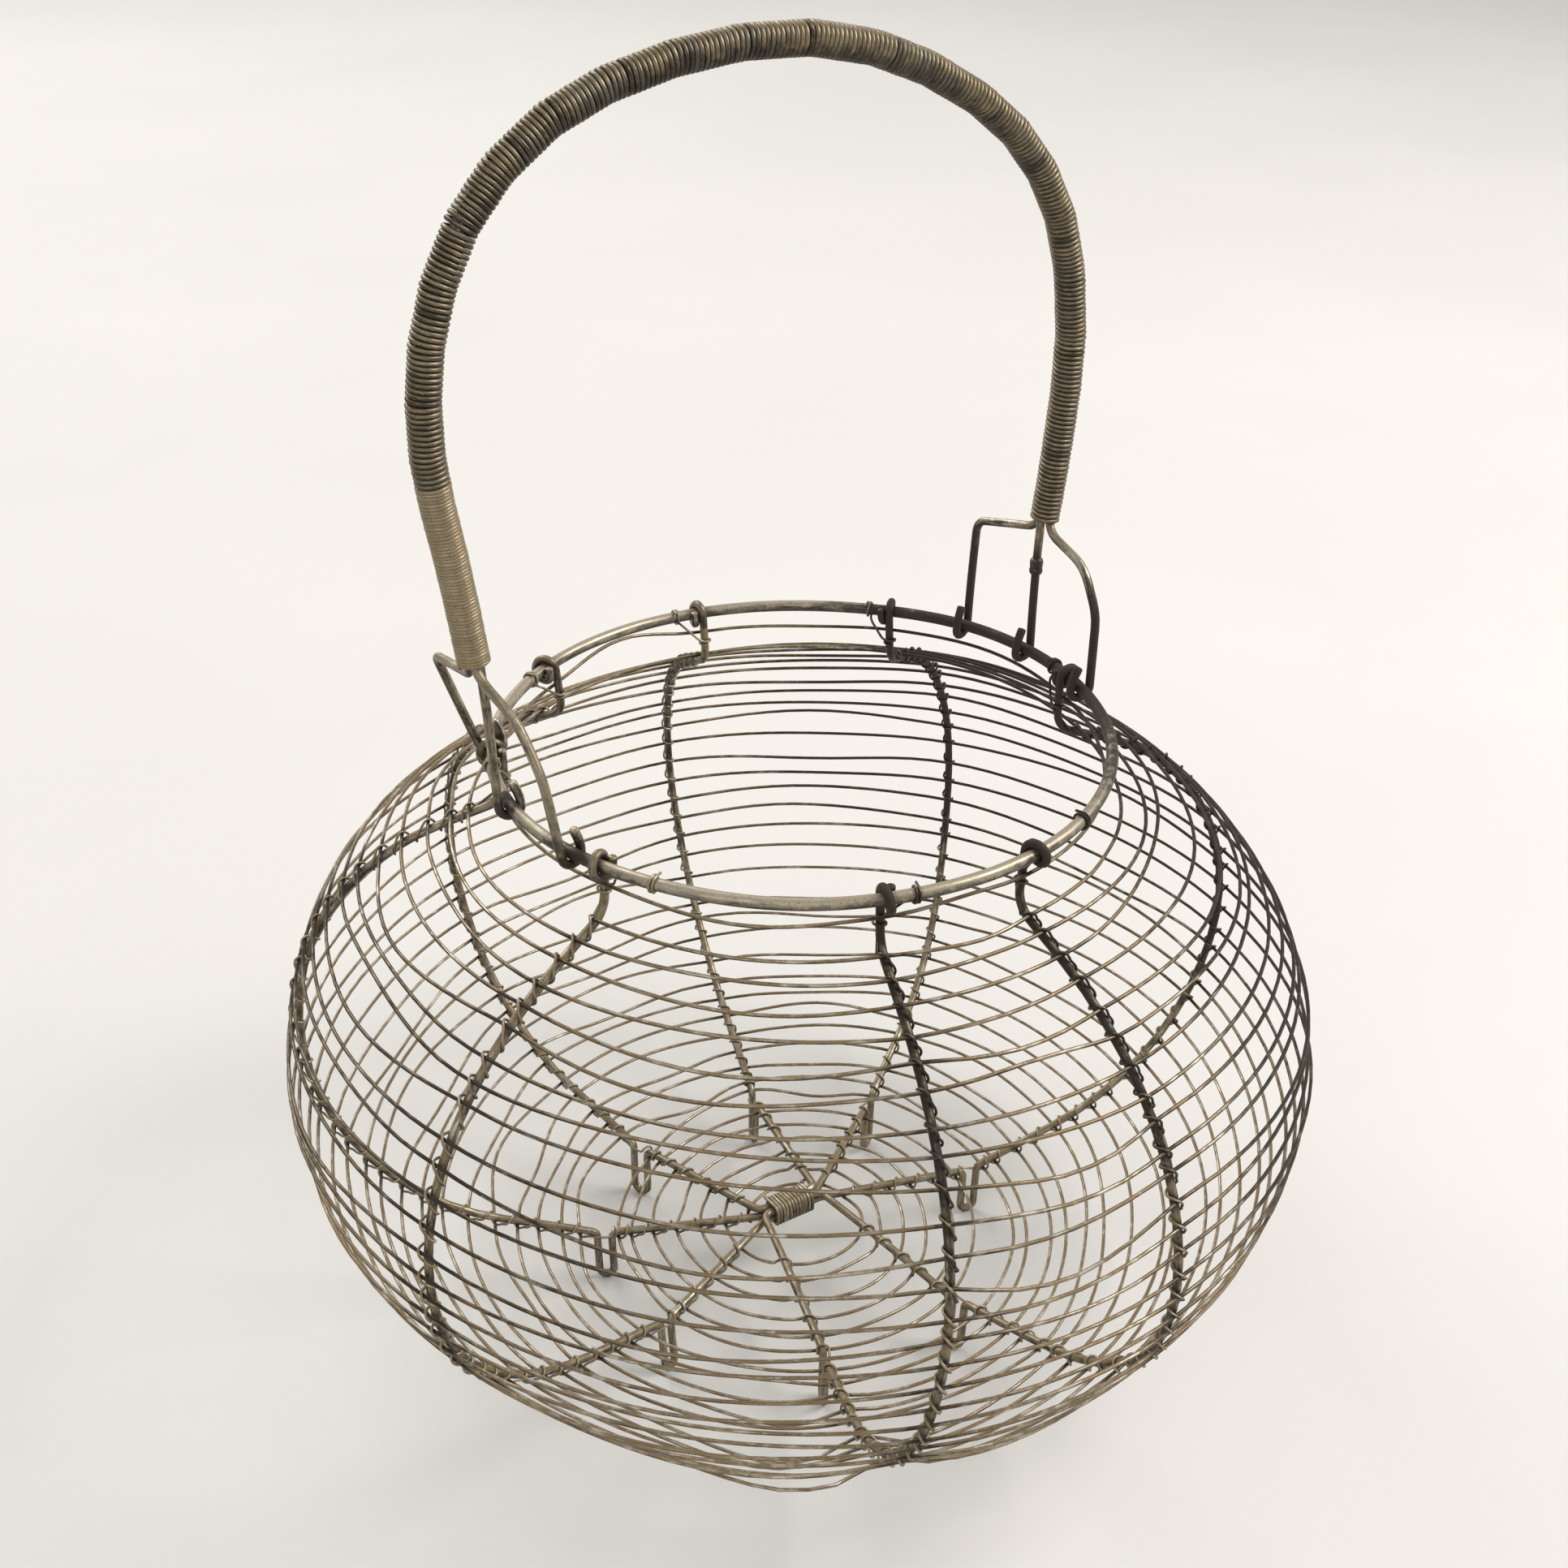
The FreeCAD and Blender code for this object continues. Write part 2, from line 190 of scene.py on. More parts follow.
class FinishColours(bpy.types.PropertyGroup):
    """Colours of the aged steel."""

    rim: colour("Rim", "Dull steel of the rim", (0.42, 0.355, 0.255))
    rib: colour("Ribs", "Grey-brown steel of the ribs", (0.25, 0.19, 0.108))
    weft: colour("Weft", "Brown steel of the weft", (0.25, 0.178, 0.094))
    binding: colour("Binding", "Steel of the hub binding and the lashings", (0.31, 0.242, 0.14))
    leg: colour("Legs", "Steel of the handle's legs", (0.29, 0.232, 0.15))
    wrap: colour("Wrap", "Olive steel of the wrapped grip", (0.235, 0.18, 0.104))
    # Worn bright steel, also painted as a highlight on surfaces that face up
    rubbed_and_highlight: colour("Rubbed", "Bright rubbed steel", (0.66, 0.585, 0.46))
    rust: colour("Rust", "Dark rust", (0.034, 0.022, 0.013))
    grime: colour("Grime", "Grime in the hollows", (0.02, 0.0145, 0.009))


class StageSettings(bpy.types.PropertyGroup):
    """The floor, the lights and the camera."""

    floor: colour("Floor", "Pale floor", (0.765, 0.74, 0.7))
    light: bpy.props.FloatProperty(name="Light", description="Strength of the soft lights", default=1.0)
    lens: bpy.props.FloatProperty(
        name="Lens", description="Focal length of the camera", default=47.7, subtype="DISTANCE_CAMERA"
    )
    camera_place: bpy.props.FloatVectorProperty(
        name="Camera place", description="Where the camera stands", default=(-0.2899, -0.4491, 0.4973),
        subtype="TRANSLATION", unit="LENGTH", size=3,
    )
    camera_turn: bpy.props.FloatVectorProperty(
        name="Camera turn", description="How the camera is turned",
        default=(math.radians(59.951), math.radians(-0.1), math.radians(-32.267)), subtype="EULER", size=3,
    )


GROUPS = {
    "basket_sizes": BasketSizes,
    "weft_sizes": WeftSizes,
    "handle_sizes": HandleSizes,
    "finish_colours": FinishColours,
    "stage_settings": StageSettings,
}


# Shape


def unit(vector):
    """A vector made one long."""
    return vector / np.linalg.norm(vector)


def polar(radius, azimuth, z):
    """A point from its distance from the axis, its azimuth in degrees and its height."""
    angle = math.radians(azimuth)
    return np.array((radius * math.cos(angle), radius * math.sin(angle), z))


def bent_path(corners, bend_step=math.radians(14), share=0.49):
    """Points along straight runs and tangent arcs. A corner is a point, or a point and its bend's radius. With
    no radius given, and where the runs are short, the arc is the largest that a share of a run allows."""
    points = [corner[0] if isinstance(corner, tuple) else corner for corner in corners]
    bends = [corner[1] if isinstance(corner, tuple) else math.inf for corner in corners]
    path = [points[0]]
    for before, point, after, bend in zip(points, points[1:], points[2:], bends[1:]):
        into, out = unit(point - before), unit(after - point)
        half_turn = math.acos(max(-1.0, min(1.0, float(into @ out)))) / 2
        if half_turn < 0.002:
            path.append(point)
            continue
        longest = share * min(np.linalg.norm(point - before), np.linalg.norm(after - point))
        radius = min(bend, longest / math.tan(half_turn))
        side = unit(out - into)
        centre = point + side * (radius / math.cos(half_turn))
        steps = max(2, math.ceil(2 * half_turn / bend_step))
        start = point - into * (radius * math.tan(half_turn)) - centre
        for step in range(steps + 1):
            angle = 2 * half_turn * step / steps
            path.append(centre + start * math.cos(angle) + into * radius * math.sin(angle))
    path.append(points[-1])
    return np.array(path)


def run_along(path):
    """How far along a path each of its points is."""
    return np.concatenate(([0.0], np.cumsum(np.linalg.norm(np.diff(path, axis=0), axis=1))))


def interpolated(places, along, path):
    """Points at places along a path."""
    return np.stack([np.interp(places, along, path[:, axis]) for axis in range(3)], 1)


def even(path, step):
    """The path again, with points an even step apart."""
    along = run_along(path)
    count = max(2, int(round(along[-1] / step)) + 1)
    return interpolated(np.linspace(0, along[-1], count), along, path)


def smooth(points, steps):
    """A smooth curve through points of any dimension, with a number of steps between each two."""
    points = np.asarray(points, float)
    ends = np.concatenate((points[:1] * 2 - points[1:2], points, points[-1:] * 2 - points[-2:-1]))
    share = (np.arange(steps) / steps)[:, None]
    out = []
    for a, b, c, d in zip(ends, ends[1:], ends[2:], ends[3:]):
        out.append(
            b + 0.5 * share * (c - a + share * (2 * a - 5 * b + 4 * c - d + share * (3 * (b - c) + d - a)))
        )
    return np.concatenate(out + [points[-1:]])


def eased(values, low, high):
    """Smooth steps from 0 at low to 1 at high."""
    share = np.clip((values - low) / (high - low), 0, 1)
    return share * share * (3 - 2 * share)


def right_side_shade(points):
    """How much darker the wire is painted at each point, as painted shade: the right of the bowl is the
    darkest. It adds to the age, so it also brings on a little rust.
    """
    points = np.asarray(points, float)
    right = 0.72 * eased(points @ np.array((1.0, -0.08, 0.0)), 20 * MM, 95 * MM)
    height = points[:, 2]
    return right * eased(height, 45 * MM, 120 * MM) * eased(-height, -248 * MM, -222 * MM)


def blackened(points):
    """How much older a blackened rib is at each point: its upper half is nearly black."""
    return 0.55 * eased(points[:, 2], 120 * MM, 160 * MM)


def settle(points):
    """Moves points a little, together and smoothly, as a basket bent by hand is never true. The shoulder has
    sunk at the back."""
    wander = bpy.context.scene.basket_sizes.wander
    points = np.asarray(points, float)
    shift = np.zeros_like(points)
    rng = np.random.RandomState(11)
    for wave in (0.19, 0.13, 0.08):
        for axis in range(3):
            way = unit(rng.normal(size=3)) * FULL_TURN / wave
            shift[:, axis] += np.sin(points @ way + rng.uniform(0, FULL_TURN)) * wave / 0.19
    keep = np.clip(points[:, 2:] / 0.03, 0, 1)
    radius = np.linalg.norm(points[:, :2], axis=1)
    turned = np.degrees(np.arctan2(points[:, 1], points[:, 0])) - SINK_AZIMUTH
    shoulder = eased(radius, 88 * MM, 112 * MM) * eased(-radius, -156 * MM, -122 * MM)
    sunk = shoulder * eased(points[:, 2], 100 * MM, 150 * MM)
    shift[:, 2] -= SHOULDER_SINK * sunk * np.exp(-((turned / SINK_SPREAD) ** 2))
    return points + shift * wander * keep


class Bowl:
    """A rib's centreline as a body of revolution: neck, sloping shoulder, round belly, flank and base."""

    def __init__(self):
        s = bpy.context.scene.basket_sizes
        self.sizes = s
        self.neck_radius = s.rim_radius - s.rim_wire / 2 - s.rib_wire / 2 - s.gap
        self.top_angle = self.tangent_angle(self.neck_radius, s.shoulder_height, -1)
        self.end_angle = self.tangent_angle(s.foot_radius, s.base_height, 1)
        self.neck_length = s.rim_height - s.shoulder_height
        self.belly_start = self.neck_length + math.dist(
            (self.neck_radius, s.shoulder_height), self.belly_point(self.top_angle)
        )
        self.belly_end = self.belly_start + s.belly_arc * (self.top_angle - self.end_angle)
        self.wall_length = self.belly_end + math.dist(
            self.belly_point(self.end_angle), (s.foot_radius, s.base_height)
        )

    def tangent_angle(self, radius, z, side):
        """The angle on the belly arc where the line from the point (radius, z) touches it."""
        out = radius - self.sizes.belly_centre_radius
        up = z - self.sizes.belly_centre_height
        return math.atan2(up, out) + side * math.acos(self.sizes.belly_arc / math.hypot(out, up))

    def belly_point(self, angle, reach=1.0):
        """(radius, z) at an angle on the belly arc, or at a reach times its radius."""
        arc = self.sizes.belly_arc * reach
        return (
            self.sizes.belly_centre_radius + arc * math.cos(angle),
            self.sizes.belly_centre_height + arc * math.sin(angle),
        )

    def profile(self, distance):
        """(radius, z, angle of the outward normal) of a rib's centreline at a distance along it."""
        if distance < self.neck_length:
            return (self.neck_radius, self.sizes.rim_height - distance, 0.0)
        if distance > self.wall_length:
            return (
                self.sizes.foot_radius - (distance - self.wall_length), self.sizes.base_height, -math.pi / 2
            )
        held = min(max(distance, self.belly_start), self.belly_end)
        angle = self.top_angle - (held - self.belly_start) / self.sizes.belly_arc
        past = distance - held
        radius, z = self.belly_point(angle)
        return (radius + past * math.sin(angle), z - past * math.cos(angle), angle)

    def normal_angle(self, distance, ease=0.006):
        """The outward normal's angle, eased over the bends at the neck and the foot."""
        places = (distance - ease, distance - ease / 2, distance, distance + ease / 2, distance + ease)
        return sum(self.profile(place)[2] for place in places) / len(places)

    def rib_azimuth(self, rib, distance):
        """A rib's azimuth at a distance along it, on one smooth curve through those at rim, belly and foot."""
        top, belly, foot = RIB_AZIMUTHS[rib]
        share = min(distance / self.wall_length, 1.0)
        rest = 1 - share
        return top * rest * (1 - 2 * share) + 4 * belly * share * rest + foot * share * (2 * share - 1)

    def hub_end(self, rib):
        """Where a rib meets the bundle at the hub."""
        s = self.sizes
        for right, left, side, level in RIB_PAIRS.values():
            if rib in (right, left):
                lift = s.rib_wire / 2 + s.gap
                reach = (s.hub_half + s.hub_fan) * (1 if rib == right else -1)
                return np.array((reach, s.hub_offset + side * lift, s.base_height + (1 + level) * lift))
        raise ValueError(f"no rib {rib}")

    def rib_point(self, rib, distance):
        """A point of a rib's centreline. On the base the ribs run straight from their feet to the hub."""
        radius, z, _ = self.profile(distance)
        if distance <= self.wall_length:
            return polar(radius, self.rib_azimuth(rib, distance), z)
        start = polar(self.sizes.foot_radius - self.sizes.foot_gap / 2, self.rib_azimuth(rib, distance), z)
        run = self.hub_end(rib) - start
        flat, along = run[:2] @ run[:2], start[:2] @ run[:2]
        inside = along * along - flat * (start[:2] @ start[:2] - radius * radius)
        share = (-along - math.sqrt(max(inside, 0.0))) / flat
        return start + run * min(share, 1.0)

    def beside_rib(self, rib, distance, side, out):
        """A point near a rib: to its right as seen from outside, and out from it."""
        angle = self.normal_angle(distance)
        outwards = polar(math.cos(angle), self.rib_azimuth(rib, distance), math.sin(angle))
        run = self.rib_point(rib, distance + MM) - self.rib_point(rib, distance - MM)
        return self.rib_point(rib, distance) + unit(np.cross(outwards, run)) * side + outwards * out

    def on_wall(self, distance, azimuth, out):
        """A point at a height out over the rib's centreline."""
        radius, z, _ = self.profile(distance)
        angle = self.normal_angle(distance)
        return polar(radius + out * math.cos(angle), azimuth, z + out * math.sin(angle))


# Meshes


def sweep(points, radii, sides, closed=False):
    """Vertices, faces and wire coordinates of a round tube along points. An open tube has rounded ends. A wire
    coordinate is (distance along, side, side), so marks on it can run along the wire."""
    points = np.asarray(points, float)
    radii = np.broadcast_to(np.asarray(radii, float), (len(points),)).copy()
    if not closed:
        first, last = unit(points[0] - points[1]), unit(points[-1] - points[-2])
        nose = 0.35
        lead = [points[0] + first * radii[0] * nose * k for k in (1.0, 0.75)]
        trail = [points[-1] + last * radii[-1] * nose * k for k in (0.75, 1.0)]
        points = np.concatenate((lead, points, trail))
        radii = np.concatenate((radii[0] * np.array((0.55, 0.85)), radii, radii[-1] * np.array((0.85, 0.55))))
    count = len(points)
    if closed:
        ahead, behind = np.roll(points, -1, 0), np.roll(points, 1, 0)
    else:
        ahead, behind = np.concatenate((points[1:], points[-1:])), np.concatenate((points[:1], points[:-1]))
    tangents = ahead - behind
    tangents /= np.linalg.norm(tangents, axis=1)[:, None]
    start = np.cross(tangents[0], Z_AXIS)
    if np.linalg.norm(start) < 0.2:
        start = np.cross(tangents[0], np.array((1.0, 0.0, 0.0)))
    normal = unit(start)
    normals = np.empty_like(points)
    for number in range(count):
        normal = unit(normal - tangents[number] * (normal @ tangents[number]))
        normals[number] = normal
    if closed:
        last = unit(normals[-1] - tangents[0] * (normals[-1] @ tangents[0]))
        twist = math.atan2(float(np.cross(last, normals[0]) @ tangents[0]), float(last @ normals[0]))
        turns = twist * np.arange(count) / count
        side = np.cross(tangents, normals)
        normals = normals * np.cos(turns)[:, None] + side * np.sin(turns)[:, None]
    sides_of = np.cross(tangents, normals)
    angles = np.arange(sides) * FULL_TURN / sides
    across, up = radii[:, None] * np.cos(angles), radii[:, None] * np.sin(angles)
    rings = points[:, None, :] + normals[:, None, :] * across[:, :, None]
    rings += sides_of[:, None, :] * up[:, :, None]
    wire = np.stack((np.repeat(run_along(points), sides), across.ravel(), up.ravel()), 1)
    row = np.arange(count if closed else count - 1)[:, None] * sides
    next_row = (row + sides) % (count * sides)
    here, there = np.arange(sides)[None, :], (np.arange(sides)[None, :] + 1) % sides
    quads = np.stack((row + here, row + there, next_row + there, next_row + here), 2).reshape(-1, 4)
    return rings.reshape(-1, 3), quads, wire


def make_piece(name, node, material, points, radii, sides, ages_and_shade, closed=False):
    """One wire as an object, which stands for a CAD node. Radii and ages are single or for each point; an age
    goes from 0 for clean wire to 1 for rust, and the same amount also carries painted shade, which darkens the
    wire."""
    rings, quads, wire = sweep(settle(points), radii, sides, closed)
    # Painted shade: the right of the bowl is darkened through the age
    ages_and_shade = np.asarray(ages_and_shade, float) + right_side_shade(points)
    faces = quads.tolist()
    if not closed:
        ages_and_shade = np.concatenate((ages_and_shade[:1], ages_and_shade[:1], ages_and_shade, ages_and_shade[-1:], ages_and_shade[-1:]))
        faces += [list(range(sides))[::-1], list(range(len(rings) - sides, len(rings)))]
    mesh = bpy.data.meshes.new(name)
    mesh.from_pydata(rings, [], faces)
    mesh.validate()
    mesh.polygons.foreach_set("use_smooth", np.ones(len(mesh.polygons), bool))
    attribute = mesh.attributes.new("wire", "FLOAT_VECTOR", "POINT")
    attribute.data.foreach_set("vector", wire.astype(np.float32).ravel())
    attribute = mesh.attributes.new("age", "FLOAT", "POINT")
    attribute.data.foreach_set("value", np.repeat(ages_and_shade, sides).astype(np.float32))
    mesh.materials.append(material)
    piece = bpy.data.objects.new(name, mesh)
    bpy.context.scene.collection.objects.link(piece)
    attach(piece, "root")
    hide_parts(node)


# Materials


class Value:
    """A socket in a material, so that shader maths reads as ordinary expressions."""

    def __init__(self, shader, socket):
        self.shader = shader
        self.socket = socket

    def math(self, operation, *others):
        inputs = {0: self, **dict(enumerate(others, 1))}
        return self.shader.node("ShaderNodeMath", {"operation": operation}, inputs)

    def __add__(self, other):
        return self.math("ADD", other)

    __radd__ = __add__

    def __mul__(self, other):
        return self.math("MULTIPLY", other)

    __rmul__ = __mul__

    def __sub__(self, other):
        return self.math("SUBTRACT", other)

    def __rsub__(self, other):
        return self.shader.node("ShaderNodeMath", {"operation": "SUBTRACT"}, {0: other, 1: self})

    def ramp(self, low, high, start=0.0, end=1.0):
        """A smooth step from start at low to end at high."""
        return self.shader.node(
            "ShaderNodeMapRange", {"interpolation_type": "SMOOTHSTEP"},
            {"Value": self, "From Min": low, "From Max": high, "To Min": start, "To Max": end},
        )


class Shader:
    """A new material with one Principled surface."""

    def __init__(self, name):
        self.material = bpy.data.materials.new(name)
        self.material.use_nodes = True
        self.tree = self.material.node_tree
        self.surface = self.tree.nodes["Principled BSDF"]

    def node(self, kind, settings, inputs, output=0):
        """A node of a kind, with its settings made first, then its sockets' values and links."""
        made = self.tree.nodes.new(kind)
        for key, value in settings.items():
            setattr(made, key, value)
        for key, value in inputs.items():
            self.feed(made.inputs[key], value)
        return Value(self, made.outputs[output])

    def feed(self, socket, value):
        if isinstance(value, Value):
            self.tree.links.new(value.socket, socket)
        elif isinstance(value, (tuple, list)) and len(value) == 3 and socket.type == "RGBA":
            socket.default_value = (*value, 1.0)
        else:
            socket.default_value = value

    def noise(self, vector, scale, detail=3.0, roughness=0.55):
        """Noise of a scale over a vector."""
        return self.node(
            "ShaderNodeTexNoise", {},
            {"Vector": vector, "Scale": scale, "Detail": detail, "Roughness": roughness},
        )

    def mix(self, share, first, second):
        """A colour between two."""
        return self.node("ShaderNodeMix", {"data_type": "RGBA"}, {0: share, 6: first, 7: second}, 2)

    def set(self, socket, value):
        """Sets or feeds a socket of the surface."""
        self.feed(self.surface.inputs[socket], value)


def aged_steel(name, base, rubbed_and_highlight_share, rust_share, grain):
    """Old drawn steel: a patchy patina, worn bright in streaks along it, with rust where the wire is old.
    Painted shade darkens the surfaces that face down, and a painted highlight adds bright steel on those that
    face up.
    """
    finish = bpy.context.scene.finish_colours
    shader = Shader(name)
    place = shader.node("ShaderNodeTexCoord", {}, {}, "Object")
    wire = shader.node("ShaderNodeAttribute", {"attribute_name": "wire"}, {}, "Vector")
    age = shader.node("ShaderNodeAttribute", {"attribute_name": "age"}, {}, "Fac")
    stretched = {0: wire, 1: (90.0, 1100.0, 1100.0)}
    streaks_at = shader.node("ShaderNodeVectorMath", {"operation": "MULTIPLY"}, stretched)
    streaks = shader.noise(streaks_at, 1.0, 4.0, 0.6)
    cloud = shader.noise(place, 55.0, 4.0, 0.6)
    patches = shader.noise(place, 260.0, 5.0, 0.62)
    pits = shader.noise(place, 1900.0, 3.0, 0.6)
    # The normal's height paints light and shade: surfaces that face down are darker, those that face up
    # brighter
    facing = shader.node("ShaderNodeNewGeometry", {}, {}, "Normal")
    upwards = shader.node("ShaderNodeSeparateXYZ", {}, {"Vector": facing}, "Z")
    base = tuple(base)
    dark = tuple(part * 0.13 for part in base)
    pale = tuple(part * 1.4 for part in base)
    # Painted shade on surfaces that face down, mixed with the patchy patina and the age
    shade = (patches * 0.9 + cloud * 0.6 + age * 0.6 - upwards * 0.28).ramp(0.63, 0.93)
    tone = shader.mix(shade, base, dark)
    tone = shader.mix(age.ramp(-0.3, 0.0, 0.8, 0.0), tone, pale)
    rubbed_and_highlight = (streaks * 0.55 + patches * 0.45).ramp(0.46, 0.62) * (cloud - age * 0.4).ramp(0.22, 0.46)
    # Painted highlight: the worn bright steel is strongest on surfaces that face up
    rubbed_and_highlight = rubbed_and_highlight * upwards.ramp(-0.5, 0.5, 0.35, 1.0) * rubbed_and_highlight_share
    tone = shader.mix(rubbed_and_highlight, tone, tuple(finish.rubbed_and_highlight))
    rust = (age + (patches - 0.5) * 1.1 + (pits - 0.5) * 0.5 + (cloud - 0.5) * 0.9).ramp(
        1.0 - rust_share, 1.28 - rust_share
    )
    tone = shader.mix(rust, tone, tuple(finish.rust))
    grime = pits.ramp(0.3, 0.44, 0.6, 0.0)
    tone = shader.mix(grime, tone, tuple(finish.grime))
    shader.set("Base Color", tone)
    shader.set("Metallic", (0.5 + rubbed_and_highlight * 0.5) * (1.0 - rust * 0.7))
    shader.set("Roughness", 0.42 - rubbed_and_highlight * 0.12 + rust * 0.3 + (patches - 0.5) * 0.2)
    height = streaks * 0.5 + pits * 0.5 + rust * patches * 0.8
    bump = shader.node("ShaderNodeBump", {}, {"Strength": 0.5, "Distance": grain, "Height": height})
    shader.set("Normal", bump)
    return shader.material


def plain(name, base, mottle, scale):
    """A pale matt surface with a faint mottle."""
    shader = Shader(name)
    place = shader.node("ShaderNodeTexCoord", {}, {}, "Object")
    share = shader.noise(place, scale, 5.0, 0.55).ramp(0.3, 0.7)
    base = tuple(base)
    shader.set("Base Color", shader.mix(share, tuple(part * mottle for part in base), base))
    shader.set("Roughness", 0.75)
    return shader.material


# Pieces


def rim_loop(bowl, azimuth, quarters, half_side, advance):
    """Corners of a square coil round the rim wire: up inside it, over, down outside and under."""
    s = bowl.sizes
    corners = []
    for quarter in range(quarters):
        turn = math.radians(135 - 90 * quarter)
        out = math.copysign(half_side, math.cos(turn))
        up = math.copysign(half_side, math.sin(turn))
        along = math.degrees((quarter + 0.5) * advance / s.rim_radius)
        corners.append(polar(s.rim_radius + out, azimuth + along, s.rim_height + up))
    return corners


def rib_corners(bowl, rib, rng):
    """Corners of one rib, from the cut end of its eye on the rim, down the wall and foot, to the hub."""
    s = bowl.sizes
    half_side = s.rim_radius - bowl.neck_radius
    advance = 0.3 * s.rib_wire
    top = bowl.rib_azimuth(rib, 0)
    past_eye = math.degrees(4.3 * advance / s.rim_radius)
    tip = polar(bowl.neck_radius, top + past_eye, s.rim_height + half_side / 2)
    corners = [tip] + rim_loop(bowl, top, 4, half_side, advance)[::-1]
    neck = polar(bowl.neck_radius, bowl.rib_azimuth(rib, bowl.neck_length), s.shoulder_height)
    corners.append((neck, 3 * s.rib_wire))
    steps = 10
    step = (bowl.top_angle - bowl.end_angle) / steps
    for number in range(steps):
        radius, z = bowl.belly_point(bowl.top_angle - (number + 0.5) * step, 1 / math.cos(step / 2))
        distance = bowl.belly_start + (number + 0.5) * step * s.belly_arc
        corners.append(polar(radius, bowl.rib_azimuth(rib, distance), z))
    foot = bowl.rib_azimuth(rib, bowl.wall_length)
    lean = rng.uniform(-1.2, 1.2)
    half_gap = s.foot_gap / 2 * rng.uniform(0.74, 1.0)
    outer_radius, outer_top, _ = bowl.profile(bowl.wall_length - half_gap / math.sin(-bowl.end_angle))
    corners.append((polar(outer_radius, foot, outer_top), half_gap))
    corners.append((polar(outer_radius, foot + lean, s.rib_wire / 2), half_gap))
    corners.append((polar(s.foot_radius - half_gap, foot + lean, s.rib_wire / 2), half_gap))
    corners.append((polar(s.foot_radius - half_gap, foot, s.base_height), half_gap))
    corners.append((bowl.hub_end(rib), s.hub_fan))
    return corners


def course_levels(bowl, weft):
    """Where the weft crosses each rib: a distance for each rib of each turn, seeded and uneven. A crossing's
    drift comes partly from the course above and partly from its own turn, and it is less on the base."""
    rng = random.Random(weft.seed)
    levels = {}
    drift = {rib: 0.0 for rib in RIB_ORDER}
    last = {rib: None for rib in RIB_ORDER}
    for turn in range(weft.turns):
        shared = rng.gauss(0, 0.45) * weft.uneven
        for rib in RIB_ORDER:
            turned = (RIB_AZIMUTHS[rib][1] - RIB_AZIMUTHS[RIB_ORDER[0]][1]) / 360
            even_place = weft.first + weft.pitch * (turn + turned)
            drift[rib] = 0.62 * drift[rib] + rng.gauss(0, 0.62) * weft.uneven + 0.3 * shared
            distance = even_place + drift[rib] * (1.0 if even_place < bowl.wall_length else 0.3)
            if last[rib] is not None:
                distance = max(distance, last[rib] + 0.52 * weft.pitch)
            past_foot = distance - bowl.wall_length
            if abs(past_foot) < weft.foot_clear:
                distance = bowl.wall_length + math.copysign(weft.foot_clear, past_foot)
            levels[turn, rib] = distance
            last[rib] = distance
    return levels


CURVE_STEPS = 2
# Each group of courses: the piece, the CAD node and the number of turns down to its end
WEFT_GROUPS = (
    ("courses_upper", "wall_weft_upper", 9),
    ("courses_belly", "wall_weft_belly", 20),
    ("courses_lower", "wall_weft_lower", 31),
    ("courses_base", "base_weft", 38),
)
# Points of a lashing's turn at a course: to the side and out, in radii of its turn round the rib, then past the
# course, in weft wires, and as a share of the way to the next course. One of them stands at the rib's side
SIDE_POINT = 6
LASHING_TURN = (
    (-1.0, 0.2, -1.3, 0.0), (-0.8, 1.2, -0.9, 0.0), (-0.3, 1.64, -0.1, 0.0), (0.2, 1.5, 0.9, 0.0),
    (0.42, 0.93, 1.3, 0.12), (0.82, 0.6, 0.0, 0.42), (1.03, 0.0, 0.0, 0.54), (0.72, -0.7, 0.0, 0.62),
    (0.0, -1.0, 0.0, 0.7), (-0.74, -0.68, 0.0, 0.78),
)


def strand(bowl, start, end, reach, dip, lean, bulge, skew):
    """Points of the weft from one crossing to just before the next; crossings are (distance, azimuth)."""
    span = (end[1] - start[1]) % 360
    steps = max(3, round(span / 6))
    points = []
    for step in range(1, steps):
        share = step / steps
        wave = math.sin(math.pi * share**skew) ** (2 if skew == 1 else 1.3)
        wave *= 1 + lean * math.cos(math.pi * share)
        place = start[0] + (end[0] - start[0]) * share + dip * wave
        points.append(bowl.on_wall(place, start[1] + span * share, reach + bulge * wave))
    return points


